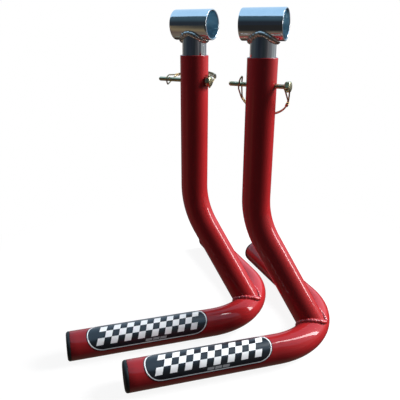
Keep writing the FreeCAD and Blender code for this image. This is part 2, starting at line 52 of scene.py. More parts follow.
# Sizes of the stand, in metres, as the CAD has them.
TUBE_R, TUBE_WALL = 20 * MM, 2.5 * MM
NOSE_X, BASE_BEND = 98.6 * MM, 100 * MM
NOSE = Vector((NOSE_X, 0, TUBE_R))
BASE_CENTRE = Vector((NOSE_X - BASE_BEND, 0, TUBE_R))
ARM_STRAIGHT = {FRONT: 203.2 * MM, REAR: 180 * MM}
ARM_ANGLE = math.radians(42.5)
COLUMN_TOP, COLUMN_BEND = 396 * MM, 120 * MM
COLUMN_LEAN = math.radians(33.36)
PIN_HOLE_R, PIN_TURN = 3.75 * MM, math.radians(-3.8)
PIN_R, PIN_SPAN, PIN_TIP = 3 * MM, 80.5 * MM, 1.2 * MM
HEAD_FLATS, HEAD_THICK = 13 * MM, 7 * MM
STEM_R, SLEEVE_R, SLEEVE_BORE, SLEEVE_SPAN = 16.85 * MM, 20 * MM, 18 * MM, 57 * MM
CAP_PLUG, CAP_FLANGE, CAP_ROUND = 16 * MM, 5 * MM, 3.5 * MM
LABEL_SPAN, LABEL_ARC = 171 * MM, 45 * MM
LABEL_START = {"left": 21.6 * MM, "right": 19.4 * MM}
LABEL_TILT = {"left": 31, "right": 27}
WIRE_R, STRAND_OFFSET = 1 * MM, 1.05 * MM
BOW_SPAN, BOW_DEPTH, BOW_WAIST, BOW_INSET = 73 * MM, 47.5 * MM, 25 * MM, 3.8 * MM
BOW_STAND_OFF, BOW_BEND, BOW_LEAD, BOW_EASE = 3.2 * MM, 1.6 * MM, 3.2 * MM, 12 * MM
BOW_LOOP, BOW_APEX, LOOP_AT, LOOP_LEAN = 5.5 * MM, 11 * MM, 68.5 * MM, 4.6 * MM

# Finer sizes, which only the looks have.
FOOT_BEAD_R, FOOT_RIPPLE, FOOT_RELIEF = 3.2 * MM, 5.0 * MM, 0.34
HEAD_BEAD_R, HEAD_RIPPLE, HEAD_RELIEF = 3.3 * MM, 4.5 * MM, 0.24
HEAD_BEAD_OUT, HEAD_BEAD_DOWN = 0.7 * MM, 0.5 * MM
BEAD_SWAY, BEAD_SWAY_PER_MM = 0.08, 0.37
SLEEVE_RIM = 0.6 * MM
WIRE_START = 4.1 * MM
ROD_GAP = 0.03 * MM
AXIS_R = 0.2 * MM
FILM_BASE, FILM_TOP = TUBE_R + 0.02 * MM, TUBE_R + 0.22 * MM
PRINT_BASE, PRINT_TOP = TUBE_R + 0.20 * MM, TUBE_R + 0.25 * MM
FILM_TIP = 0.02 * MM
BORDER_INSET, BORDER_LINE = 1.0 * MM, 1.3 * MM
BLOCK_ROWS, BLOCK_CELLS = 3, 15
BLOCK_WIDE, BLOCK_TALL, BLOCK_SLANT = 9.4 * MM, 9.2 * MM, 3.0 * MM
DASH_WIDE, DASH_TALL, DASH_SLANT, DASH_BELOW = 9.0 * MM, 3.4 * MM, 1.1 * MM, 5.2 * MM
DASHES_AT = (0.46, 0.52, 0.58)

# How finely things are cut up. The column's rows are close so that its drilled hole shades well.
TUBE_SIDES, SLEEVE_SIDES, ROD_SIDES, WIRE_SIDES, BEAD_SIDES = 96, 128, 48, 16, 18
BEND_STEPS, ARM_STEPS, LEAN_STEPS, COLUMN_STEPS, BEAD_STEPS = 36, 20, 24, 190, 300
FILM_ROWS, FILM_END_STEPS, PILL_END_STEPS, PILL_STEP, BLOCK_STEPS = 36, 28, 40, 4 * MM, 6


# ------------------------------------------------------------------ frames of the stands

def turn_of(direction):
    """The heading of a level direction, from +X."""
    return math.atan2(direction[1], direction[0])


def stand_matrix(side):
    """The stand's own frame: origin on the floor under the column, +X to the nose of the base."""
    column = Vector(JOINTS[f"{side}_head_turn"]["pos_m"])
    heading = turn_of(JOINTS[f"{side}_pin_slide"]["axis"]) - PIN_TURN
    return Matrix.Translation((column.x, column.y, 0)) @ Matrix.Rotation(heading, 4, "Z")


def pin_matrix(side):
    """The pin's frame: +Z out through the head, +Y the way the bow reaches, origin under it."""
    hinge = JOINTS[f"{side}_bow_open"]
    out = Vector(JOINTS[f"{side}_pin_slide"]["axis"]).normalized()
    across = Vector(hinge["axis"]).normalized()
    reach = out.cross(across)
    origin = Vector(hinge["pos_m"]) - out * HEAD_THICK / 2
    turn = Matrix((across, reach, out)).transposed().to_4x4()
    return Matrix.Translation(origin) @ turn


def sleeve_matrix(side):
    """The cross sleeve's frame: +X along its bore, origin at its middle."""
    mount = MOUNTS[f"{side}_sleeve_bore"]
    return Matrix.Translation(mount["pos_m"]) @ Matrix.Rotation(turn_of(mount["axis"]), 4, "Z")


def turn_to(way):
    """The turn that takes +Z to a direction."""
    return Z.rotation_difference(way).to_matrix().to_4x4()


# ------------------------------------------------------------------ mesh helpers

def new_piece(name, mesh, body, material, replaced=None, sharp=35):
    """A finished piece, smooth but for its sharp edges, on a body; it may replace a CAD node."""
    piece = bpy.data.objects.new(name, mesh)
    bpy.context.scene.collection.objects.link(piece)
    mesh.materials.append(material)
    mesh.shade_smooth()
    mesh.set_sharp_from_angle(angle=math.radians(sharp))
    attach(piece, body)
    if replaced:
        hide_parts(replaced)


def mesh_from_rings(name, rings, matrix, closed=True):
    """A skin over rings of points, closed from the last ring to the first or capped at its ends."""
    bm = bmesh.new()
    count = len(rings[0])
    rows = [[bm.verts.new(point) for point in ring] for ring in rings]
    following = rows[1:] + rows[:1] if closed else rows[1:]
    for one, other in zip(rows, following):
        for n in range(count):
            m = (n + 1) % count
            bm.faces.new((one[n], one[m], other[m], other[n]))
    if not closed:
        bm.faces.new(rows[0])
        bm.faces.new(list(reversed(rows[-1])))
    bmesh.ops.recalc_face_normals(bm, faces=bm.faces)
    bm.transform(matrix)
    mesh = bpy.data.meshes.new(name)
    bm.to_mesh(mesh)
    bm.free()
    return mesh


def join_meshes(name, meshes):
    bm = bmesh.new()
    for mesh in meshes:
        bm.from_mesh(mesh)
    joined = bpy.data.meshes.new(name)
    bm.to_mesh(joined)
    bm.free()
    return joined


def cut_with(mesh, cutter):
    """The mesh less a cutter's mesh."""
    body = bpy.data.objects.new("cut_body", mesh)
    tool = bpy.data.objects.new("cut_tool", cutter)
    for thing in (body, tool):
        bpy.context.scene.collection.objects.link(thing)
    modifier = body.modifiers.new("cut", "BOOLEAN")
    modifier.operation, modifier.object, modifier.solver = "DIFFERENCE", tool, "EXACT"
    bpy.context.view_layer.update()
    cut_body = body.evaluated_get(bpy.context.evaluated_depsgraph_get())
    result = bpy.data.meshes.new_from_object(cut_body)
    for thing in (body, tool):
        bpy.data.objects.remove(thing)
    return result


def full_turn(count):
    """Angles spread evenly round a circle."""
    return [2 * math.pi * n / count for n in range(count)]


def quarter_turn(steps):
    """Angles from 0 to a right angle, both included."""
    return [math.pi / 2 * n / steps for n in range(steps + 1)]


def arc_points(centre, start, turn, steps, normal):
    """Points along an arc from a start point, turned about a normal by an angle."""
    spoke = start - centre
    return [
        centre + Matrix.Rotation(turn * n / steps, 3, normal) @ spoke for n in range(steps + 1)
    ]


def line_points(start, end, steps):
    return [start.lerp(end, n / steps) for n in range(steps + 1)]


def rounded_path(corners, steps=12):
    """Points along straights joined by arcs; each corner is a point and its bend radius."""
    points = [corners[0][0]]
    for (before, _), (corner, radius), (after, _) in zip(corners, corners[1:], corners[2:]):
        back, ahead = (before - corner).normalized(), (after - corner).normalized()
        half_angle = back.angle(ahead) / 2
        middle = corner + (back + ahead).normalized() * (radius / math.sin(half_angle))
        first = corner + back * (radius / math.tan(half_angle))
        if (first - points[-1]).length > radius / 4:
            points += line_points(points[-1], first, 3)[1:-1]
        turn = math.pi - 2 * half_angle
        points += arc_points(middle, first, turn, steps, ahead.cross(back))
    return points


def frames_along(points, loop=False):
    """For each point of a path: the point and two directions square to it, kept from twisting."""
    count = len(points)

    def tangent(n):
        before = points[(n - 1) % count] if loop else points[max(n - 1, 0)]
        after = points[(n + 1) % count] if loop else points[min(n + 1, count - 1)]
        return (after - before).normalized()

    side = tangent(0).orthogonal().normalized()
    found = []
    for n, point in enumerate(points):
        way = tangent(n)
        side = (side - way * side.dot(way)).normalized()
        found.append((point, side, way.cross(side)))
    if loop:
        end_side = (found[0][1] - way * found[0][1].dot(way)).normalized()
        twist = math.atan2(end_side.dot(found[-1][2]), end_side.dot(found[-1][1]))
        for n, (point, side, other) in enumerate(found):
            angle = twist * n / (count - 1)
            cos, sin = math.cos(angle), math.sin(angle)
            found[n] = (point, side * cos + other * sin, other * cos - side * sin)
    return found


def ring_at(place, radius, sides, shift=0.0):
    """A ring round a path's point; shift moves it along the path."""
    point, side, other = place
    middle = point + side.cross(other) * shift
    return [
        middle + (side * math.cos(a) + other * math.sin(a)) * radius for a in full_turn(sides)
    ]


def wire_mesh(name, points, matrix):
    """The round spring wire along a path, with rounded ends."""
    places = frames_along(points)
    tip, bulge = WIRE_R * 0.5, WIRE_R * 0.3
    rings = [ring_at(places[0], tip, WIRE_SIDES, -bulge)]
    rings += [ring_at(place, WIRE_R, WIRE_SIDES) for place in places]
    rings += [ring_at(places[-1], tip, WIRE_SIDES, bulge)]
    return mesh_from_rings(name, rings, matrix, closed=False)


def tube_mesh(name, points, matrix):
    """The stand's tube along a path, open, with rolled-over edges at both ends."""
    places = frames_along(points)
    start, end, between = places[0], places[-1], places[1:-1]
    bore, edge = TUBE_R - TUBE_WALL, TUBE_WALL * 0.3
    knee = edge * 0.3
    outer_edge = [(TUBE_R - edge, 0), (TUBE_R - knee, knee), (TUBE_R, edge)]
    inner_edge = [(bore, edge), (bore + edge, 0)]

    def rings_at(place, section, sign):
        return [ring_at(place, radius, TUBE_SIDES, sign * inward) for radius, inward in section]

    rings = rings_at(start, outer_edge, 1)
    rings += [ring_at(place, TUBE_R, TUBE_SIDES) for place in between]
    rings += rings_at(end, reversed(outer_edge), -1) + rings_at(end, reversed(inner_edge), -1)
    rings += [ring_at(place, bore, TUBE_SIDES) for place in reversed(between)]
    rings += rings_at(start, inner_edge, 1)
    return mesh_from_rings(name, rings, matrix)


def lathe_mesh(name, profile, matrix, sides=TUBE_SIDES, closed=True):
    """A turned solid about +Z from (radius, height) points."""
    rings = [
        [Vector((r * math.cos(a), r * math.sin(a), z)) for a in full_turn(sides)]
        for r, z in profile
    ]
    return mesh_from_rings(name, rings, matrix, closed)


# ------------------------------------------------------------------ material helpers

class Graph:
    """A node tree, with short calls for the few kinds of node used here."""

    def __init__(self, tree):
        self.tree = tree
        tree.nodes.clear()

    def node(self, kind, **inputs):
        made = self.tree.nodes.new(kind)
        self.set_all(made, **inputs)
        return made

    def set_all(self, node, **inputs):
        """Feed a node's inputs by name, with _ for a space."""
        for key, given in inputs.items():
            self.feed(node.inputs[key.replace("_", " ")], given)

    def feed(self, socket, given):
        """Link a socket or set it; a colour may come without its alpha."""
        if isinstance(given, bpy.types.NodeSocket):
            self.tree.links.new(given, socket)
        elif socket.type == "RGBA" and len(given) == 3:
            socket.default_value = (*given, 1)
        else:
            socket.default_value = given

    def math(self, operation, a, b):
        made = self.tree.nodes.new("ShaderNodeMath")
        made.operation = operation
        self.feed(made.inputs[0], a)
        self.feed(made.inputs[1], b)
        return made.outputs[0]

    def length(self, vector):
        made = self.tree.nodes.new("ShaderNodeVectorMath")
        made.operation = "LENGTH"
        self.feed(made.inputs[0], vector)
        return made.outputs["Value"]

    def ramp(self, value, stops):
        """A colour ramp; each stop is a position and a grey or a colour."""
        made = self.tree.nodes.new("ShaderNodeValToRGB")
        elements = made.color_ramp.elements
        while len(elements) < len(stops):
            elements.new(0.5)
        for element, (position, colour) in zip(elements, stops):
            element.position = position
            grey = isinstance(colour, (int, float))
            element.color = (colour, colour, colour, 1) if grey else (*colour, 1)
        self.feed(made.inputs[0], value)
        return made.outputs[0]

    def spread(self, noise, low, high):
        """From low to high over the usual range of a noise."""
        return self.ramp(noise, [(0.3, low), (0.7, high)])

    def between(self, value, low, high):
        """0 below low, 1 above high, smooth between."""
        made = self.tree.nodes.new("ShaderNodeMapRange")
        made.interpolation_type = "SMOOTHSTEP"
        self.set_all(made, Value=value, From_Min=low, From_Max=high)
        return made.outputs[0]

    def mix(self, factor, one, other):
        made = self.tree.nodes.new("ShaderNodeMix")
        made.data_type = "RGBA"
        for n, given in ((0, factor), (6, one), (7, other)):
            self.feed(made.inputs[n], given)
        return made.outputs[2]

    def noise(self, place, scale, detail=3.0, roughness=0.5):
        made = self.node(
            "ShaderNodeTexNoise", Vector=place, Scale=scale, Detail=detail, Roughness=roughness
        )
        return made.outputs["Fac"]

    def place(self, scale=(1, 1, 1)):
        """Where the shaded point is in the object's rest frame, in metres, stretched by scale."""
        coordinates = self.node("ShaderNodeTexCoord").outputs["Object"]
        return self.node("ShaderNodeMapping", Vector=coordinates, Scale=scale).outputs[0]

    def bump(self, height, distance, strength, normal=None):
        made = self.node("ShaderNodeBump", Height=height, Distance=distance, Strength=strength)
        if normal is not None:
            self.set_all(made, Normal=normal)
        return made.outputs[0]


def surface(name, build):
    """A material whose Principled shader is set up by build(graph, shader)."""
    material = bpy.data.materials.new(name)
    material.use_nodes = True
    graph = Graph(material.node_tree)
    shader = graph.node("ShaderNodeBsdfPrincipled")
    graph.node("ShaderNodeOutputMaterial", Surface=shader.outputs[0])
    build(graph, shader)
    return material


# ------------------------------------------------------------------ materials

def red_paint(graph, shader):
    """Gloss powder coat: a deep red under a clear skin with a faint orange peel."""
    place = graph.place()
    cloud = graph.noise(place, 14, 4)
    colour = graph.mix(cloud, (0.235, 0.0105, 0.012), (0.29, 0.013, 0.015))
    specks = graph.between(graph.noise(place, 900, 2), 0.72, 0.76)
    colour = graph.mix(graph.math("MULTIPLY", specks, 0.25), colour, (0.12, 0.002, 0.003))
    peel = graph.noise(place, 330, 2)
    ripple = graph.noise(place, 90, 2)
    smear = graph.noise(graph.place((1, 1, 0.2)), 25, 4)
    graph.set_all(
        shader,
        Base_Color=colour,
        Roughness=graph.spread(smear, 0.34, 0.44),
        Specular_IOR_Level=0.08,
        Normal=graph.bump(ripple, 0.1 * MM, 0.2),
        Coat_Weight=0.8,
        Coat_IOR=1.45,
        Coat_Roughness=graph.ramp(smear, [(0.3, 0.03), (0.75, 0.06)]),
        Coat_Normal=graph.bump(peel, 0.04 * MM, 0.35, graph.bump(ripple, 0.1 * MM, 0.25)),
    )


def red_weld(graph, shader):
    """The same powder coat over a weld, where it flows thicker and shines more broadly. Its red is lighter than
    the paint's: a painted sheen for the sky's light on the bead.
    """
    cloud = graph.noise(graph.place(), 300, 4, 0.6)
    graph.set_all(
        shader,
        # Painted sheen: this red is lighter than the paint's, standing in for the sky's light on the bead.
        Base_Color=graph.mix(cloud, (0.27, 0.010, 0.012), (0.40, 0.022, 0.024)),
        Roughness=0.4,
        Specular_IOR_Level=0.3,
        Normal=graph.bump(cloud, 0.3 * MM, 0.4),
        Coat_Weight=1.0,
        Coat_IOR=1.7,
        Coat_Roughness=graph.spread(cloud, 0.12, 0.26),
        Coat_Normal=graph.bump(cloud, 0.3 * MM, 0.6),
    )


def bright_zinc(graph, shader):
    """Bright zinc plate: mirror-like, with fine draw lines round it and faint clouding."""
    place = graph.place()
    lines = graph.noise(graph.place((1, 1, 26)), 120, 3)
    cloud = graph.noise(place, 60, 5, 0.6)
    pits = graph.between(graph.noise(place, 1400, 1), 0.70, 0.78)
    streaks = graph.noise(graph.place((1, 1, 0.06)), 420, 3, 0.6)
    normal = graph.bump(lines, 0.03 * MM, 0.35, graph.bump(cloud, 0.2 * MM, 0.12))
    dulled = graph.math("MULTIPLY", pits, 0.1)
    graph.set_all(
        shader,
        Base_Color=graph.mix(cloud, (0.76, 0.80, 0.84), (0.90, 0.92, 0.93)),
        Metallic=1.0,
        Roughness=graph.math("ADD", graph.spread(cloud, 0.06, 0.13), dulled),
        Normal=graph.bump(streaks, 0.02 * MM, 0.2, normal),
    )


def stem_zinc(graph, shader):
    """The stem's plating: brighter than the sleeve's, with draw marks along the pipe."""
    marks = graph.noise(graph.place((1, 1, 0.04)), 300, 3, 0.6)
    cloud = graph.noise(graph.place(), 70, 4, 0.6)
    streaks = graph.between(marks, 0.4, 0.62)
    dulled = graph.math("MULTIPLY", marks, 0.04)
    graph.set_all(
        shader,
        Base_Color=graph.mix(streaks, (0.62, 0.66, 0.70), (0.93, 0.94, 0.95)),
        Metallic=1.0,
        Roughness=graph.math("ADD", graph.spread(cloud, 0.02, 0.06), dulled),
        Normal=graph.bump(marks, 0.02 * MM, 0.25, graph.bump(cloud, 0.1 * MM, 0.1)),
    )


def dull_zinc(graph, shader):
    """The sleeve's bore: zinc on a drawn wall that was never polished."""
    cloud = graph.noise(graph.place((0.3, 1, 1)), 90, 5, 0.6)
    scratches = graph.noise(graph.place((1, 14, 14)), 60, 3)
    grit = graph.noise(graph.place(), 700, 2)
    graph.set_all(
        shader,
        Base_Color=graph.mix(cloud, (0.42, 0.62, 0.72), (0.52, 0.70, 0.78)),
        Metallic=1.0,
        Roughness=graph.spread(cloud, 0.34, 0.48),
        Normal=graph.bump(scratches, 0.06 * MM, 0.4, graph.bump(grit, 0.03 * MM, 0.3)),
    )


def weld_zinc(graph, shader):
    """The plated weld: zinc over a rough bead, browned by the heat."""
    place = graph.place()
    cloud = graph.noise(place, 150, 4, 0.6)
    browned, middling, clean = (0.50, 0.45, 0.38), (0.76, 0.74, 0.70), (0.92, 0.93, 0.92)
    graph.set_all(
        shader,
        Base_Color=graph.ramp(cloud, [(0.3, browned), (0.5, middling), (0.7, clean)]),
        Metallic=1.0,
        Roughness=graph.spread(cloud, 0.34, 0.16),
        Normal=graph.bump(graph.noise(place, 1100, 3, 0.6), 0.1 * MM, 0.5),
    )


def yellow_zinc(graph, shader):
    """Yellow passivated zinc on turned steel, with its greenish and pinkish clouds."""
    cloud = graph.noise(graph.place(), 220, 4, 0.6)
    lines = graph.noise(graph.place((30, 1, 1)), 260, 3)
    brown, straw, green, pink = (
        (0.50, 0.38, 0.16), (0.66, 0.58, 0.34), (0.56, 0.58, 0.40), (0.66, 0.50, 0.40)
    )
    clouds = [(0.30, brown), (0.48, straw), (0.60, green), (0.75, pink)]
    graph.set_all(
        shader,
        Base_Color=graph.ramp(cloud, clouds),
        Metallic=1.0,
        Roughness=graph.spread(lines, 0.2, 0.34),
        Normal=graph.bump(lines, 0.04 * MM, 0.5),
    )


def spring_wire(graph, shader):
    """Drawn spring wire under a thin yellow zinc, darker where the fingers rub it."""
    place = graph.place()
    cloud = graph.noise(place, 180, 4, 0.6)
    grain = graph.noise(place, 2500, 2)
    rubbed, middling, plated = (0.24, 0.15, 0.07), (0.42, 0.30, 0.15), (0.52, 0.42, 0.26)
    graph.set_all(
        shader,
        Base_Color=graph.ramp(cloud, [(0.3, rubbed), (0.5, middling), (0.7, plated)]),
        Metallic=1.0,
        Roughness=graph.spread(grain, 0.26, 0.4),
        Normal=graph.bump(grain, 0.03 * MM, 0.4),
    )


def black_plastic(graph, shader):
    """Moulded black polyethylene with a fine spark grain."""
    grain = graph.noise(graph.place(), 1600, 3, 0.6)
    scuff = graph.noise(graph.place((1, 1, 4)), 70, 5, 0.7)
    scuffed = graph.between(scuff, 0.5, 0.75)
    graph.set_all(
        shader,
        Base_Color=graph.mix(scuffed, (0.005, 0.005, 0.005), (0.014, 0.014, 0.014)),
        Roughness=graph.spread(scuff, 0.42, 0.6),
        Normal=graph.bump(grain, 0.08 * MM, 0.5),
    )


def film(light, dark, roughness=0.22):
    """A printed vinyl film, with the print's fine screen and a glossy laminate."""
    def build(graph, shader):
        place = graph.place()
        cloud = graph.noise(place, 40, 3)
        screen = graph.math("MULTIPLY", graph.noise(place, 3000, 2), 0.6)
        graph.set_all(
            shader,
            Base_Color=graph.mix(screen, light, dark),
            Roughness=graph.spread(cloud, roughness, roughness + 0.08),
            Normal=graph.bump(cloud, 0.2 * MM, 0.15),
            Coat_Weight=0.6,
            Coat_Roughness=0.06,
        )
    return build


RED = surface("red_powder_coat", red_paint)
# The weld's material is a lighter copy of the red paint, a painted sheen.
RED_WELD_PAINTED_SHEEN = surface("red_weld", red_weld)
ZINC = surface("bright_zinc", bright_zinc)
ZINC_STEM = surface("stem_zinc", stem_zinc)
ZINC_BORE = surface("dull_zinc", dull_zinc)
ZINC_WELD = surface("weld_zinc", weld_zinc)
YELLOW = surface("yellow_zinc", yellow_zinc)
WIRE = surface("spring_wire", spring_wire)
PLASTIC = surface("black_plastic", black_plastic)
FILM_BLACK = surface("film_black", film((0.004, 0.005, 0.007), (0.009, 0.010, 0.013), 0.3))
FILM_WHITE = surface("film_white", film((0.86, 0.87, 0.88), (0.78, 0.79, 0.81)))
FILM_GREY = surface("film_grey", film((0.36, 0.37, 0.38), (0.30, 0.31, 0.32)))


# ------------------------------------------------------------------ tubes, welds and caps

def arm_path(sign):
    """The base tube's centreline from its nose to one arm's end, and the arm's direction."""
    bend = arc_points(BASE_CENTRE, NOSE, sign * (math.pi / 2 - ARM_ANGLE), BEND_STEPS, "Z")
    way = Vector((-math.cos(ARM_ANGLE), sign * math.sin(ARM_ANGLE), 0))
    arm = line_points(bend[-1], bend[-1] + way * ARM_STRAIGHT[sign], ARM_STEPS)
    return bend + arm[1:], way


def column_path():
    """The column's centreline from its foot to its open top."""
    corner = TUBE_R + NOSE_X / math.tan(COLUMN_LEAN)
    above = Vector((0, 0, corner + COLUMN_BEND * math.tan(COLUMN_LEAN / 2)))
    centre = above + Vector((COLUMN_BEND, 0, 0))
    bend = arc_points(centre, above, -COLUMN_LEAN, BEND_STEPS, "Y")
    leaning = line_points(NOSE, bend[-1], LEAN_STEPS)
    upright = line_points(above, Vector((0, 0, COLUMN_TOP)), COLUMN_STEPS)
    return leaning + list(reversed(bend[:-1])) + upright[1:]


def drilled_column(side, stand):
    """The column with the pin's hole through both its walls."""
    column = tube_mesh(f"{side}_column", column_path(), stand)
    pin_height = JOINTS[f"{side}_pin_turn"]["pos_m"][2]
    middle = (stand.translation.x, stand.translation.y, pin_height)
    place = Matrix.Translation(middle) @ turn_to(Vector(JOINTS[f"{side}_pin_slide"]["axis"]))
    ends = [(PIN_HOLE_R, -2 * TUBE_R), (PIN_HOLE_R, 2 * TUBE_R)]
    return cut_with(column, lathe_mesh("drill", ends, place, ROD_SIDES, closed=False))


def bead_mesh(name, curve, radius, ripple, relief, matrix):
    """A weld bead along a closed curve, with the overlapping ripples of its puddles."""
    places = frames_along(curve, loop=True)
    rings, run = [], 0.0
    for n, place in enumerate(places):
        run += (place[0] - places[n - 1][0]).length if n else 0.0
        puddle = (run / ripple) % 1.0
        swell = 1 + relief * (math.sqrt(1 - (1 - puddle) ** 2) - 0.5)
        swell += BEAD_SWAY * math.sin(run / MM * BEAD_SWAY_PER_MM)
        rings.append(ring_at(place, radius * swell, BEAD_SIDES))
    return mesh_from_rings(name, rings, matrix)


def last_inside(point_at, inside, high):
    """Along a line of points that starts inside a shape, the last place that is still inside."""
    low = 0.0
    for _ in range(50):
        middle = (low + high) / 2
        if inside(point_at(middle)):
            low = middle
        else:
            high = middle
    return point_at(low)


def foot_curve():
    """Where the leaning column's skin meets the base tube's skin, or a hair above it."""
    up = Vector((-math.sin(COLUMN_LEAN), 0, math.cos(COLUMN_LEAN)))
    front = Vector((math.cos(COLUMN_LEAN), 0, math.sin(COLUMN_LEAN)))
    skin, tallest = TUBE_R * 1.012, TUBE_R * 1.6

    def in_base(point):
        flat = math.hypot(point.x - BASE_CENTRE.x, point.y - BASE_CENTRE.y) - BASE_BEND
        return math.hypot(flat, point.z - TUBE_R) < skin

    curve = []
    for angle in full_turn(BEAD_STEPS):
        spoke = (front * math.cos(angle) + Y * math.sin(angle)) * TUBE_R
        curve.append(last_inside(lambda h: NOSE + spoke + up * h, in_base, tallest))
    return curve


def head_curve():
    """Where the stem's skin meets the cross sleeve's, a little out and down, about its middle."""
    curve = []
    for angle in full_turn(BEAD_STEPS):
        x, y = STEM_R * math.cos(angle), STEM_R * math.sin(angle)
        out = Vector((x, y, 0)).normalized() * HEAD_BEAD_OUT
        under = -math.sqrt(SLEEVE_R ** 2 - y ** 2) - HEAD_BEAD_DOWN
        curve.append(Vector((x, y, under)) + out)
    return curve


def cap_profile():
    """An end cap's outline as (radius, height): a plug, a lip and a face with a ring and a gate."""
    play, chamfer, edge = 0.05 * MM, 1.2 * MM, 0.5 * MM
    plug, lip, face = TUBE_R - TUBE_WALL - play, TUBE_R, CAP_FLANGE
    outline = [(plug - chamfer, -CAP_PLUG), (plug, chamfer - CAP_PLUG), (plug, -0.3 * MM)]
    outline += [(plug, 0), (lip - edge, 0), (lip - edge * 0.24, edge * 0.3), (lip, edge)]
    for angle in quarter_turn(12):
        inward, rise = CAP_ROUND * (1 - math.cos(angle)), CAP_ROUND * math.sin(angle)
        outline.append((lip - inward, face - CAP_ROUND + rise))
    dish, ring_floor, gate_floor = lip - CAP_ROUND, face - 0.35 * MM, face - 0.3 * MM
    outline += [(dish - 1.6 * MM, face), (dish - 2.0 * MM, ring_floor)]
    outline += [(dish - 3.0 * MM, ring_floor), (dish - 3.4 * MM, face), (dish / 2, face)]
    outline += [(2.2 * MM, face), (1.8 * MM, gate_floor), (0.3 * MM, gate_floor)]
    return outline


def build_frame(side):
    """The painted tubes, their weld bead and the plastic caps."""
    stand, body = stand_matrix(side), f"{side}_stand"
    front, front_way = arm_path(FRONT)
    rear, rear_way = arm_path(REAR)
    base = tube_mesh(f"{side}_base", list(reversed(front)) + rear[1:], stand)
    new_piece(f"{side}_base", base, body, RED, f"{side}_base_tube")
    column = drilled_column(side, stand)
    new_piece(f"{side}_column", column, body, RED, f"{side}_upright_tube")
    bead = bead_mesh(
        f"{side}_foot_bead", foot_curve(), FOOT_BEAD_R, FOOT_RIPPLE, FOOT_RELIEF, stand
    )
    new_piece(f"{side}_foot_bead", bead, body, RED_WELD_PAINTED_SHEEN, f"{side}_foot_weld", 60)
    for which, path, way in (("front", front, front_way), ("rear", rear, rear_way)):
        name = f"{side}_{which}_cap"
        place = stand @ Matrix.Translation(path[-1]) @ turn_to(way)
        cap = lathe_mesh(name, cap_profile(), place, closed=False)
        new_piece(name, cap, body, PLASTIC, f"{side}_{which}_end_cap")


# ------------------------------------------------------------------ the label

def on_arm(u, w, radius):
    """A point over the arm: u along it from its end, w round its skin from its top line."""
    return Vector((u, radius * math.sin(w / TUBE_R), radius * math.cos(w / TUBE_R)))


def printed_strip(one, other):
    """A section of the print between two (u, w) points. It is sunk a little in the film."""
    return [
        on_arm(*one, PRINT_BASE), on_arm(*one, PRINT_TOP),
        on_arm(*other, PRINT_TOP), on_arm(*other, PRINT_BASE),
    ]


def film_mesh(name, start, matrix):
    """The label's pill of film, wrapped on the arm, its columns closer together at its ends."""
    end = LABEL_ARC / 2
    columns = []
    for angle in quarter_turn(FILM_END_STEPS):
        inward = max(end * (1 - math.cos(angle)), FILM_TIP)
        columns.append((inward, math.sqrt(end ** 2 - (end - inward) ** 2)))
    columns += [(LABEL_SPAN - inward, half) for inward, half in reversed(columns)]

    def skin(radius):
        shares = [2 * n / FILM_ROWS - 1 for n in range(FILM_ROWS + 1)]
        return [
            [on_arm(start + u, half * share, radius) for share in shares] for u, half in columns
        ]

    rings = [top + list(reversed(under)) for top, under in zip(skin(FILM_TOP), skin(FILM_BASE))]
    return mesh_from_rings(name, rings, matrix, closed=False)


def pill_outline(start, inset):
    """The label's outline less an inset as (u, w) points, its straights cut into short parts."""
    half = LABEL_ARC / 2 - inset
    points = []
    for middle, sign in ((LABEL_SPAN - LABEL_ARC / 2, 1), (LABEL_ARC / 2, -1)):
        for n in range(PILL_END_STEPS + 1):
            angle = -math.pi / 2 + math.pi * n / PILL_END_STEPS
            u, w = half * math.cos(angle), half * math.sin(angle)
            points.append((start + middle + sign * u, sign * w))
    outline = []
    for (u, w), (u_next, w_next) in zip(points, points[1:] + points[:1]):
        parts = max(1, int(abs(u_next - u) / PILL_STEP))
        for share in (n / parts for n in range(parts)):
            outline.append((u + (u_next - u) * share, w + (w_next - w) * share))
    return outline


def border_mesh(name, start, matrix):
    """The line printed along the label's edge."""
    outer = pill_outline(start, BORDER_INSET)
    inner = pill_outline(start, BORDER_INSET + BORDER_LINE)
    return mesh_from_rings(name, [printed_strip(*pair) for pair in zip(outer, inner)], matrix)


def slanted_block(u, w, wide, tall, slant, matrix):
    """A leaning block of the print, wrapped on the arm, its lower corner at (u, w)."""
    rings = []
    for share in (n / BLOCK_STEPS for n in range(BLOCK_STEPS + 1)):
        along, across = u + slant * share, w + tall * share
        rings.append(printed_strip((along, across), (along + wide, across)))
    return mesh_from_rings("block", rings, matrix, closed=False)


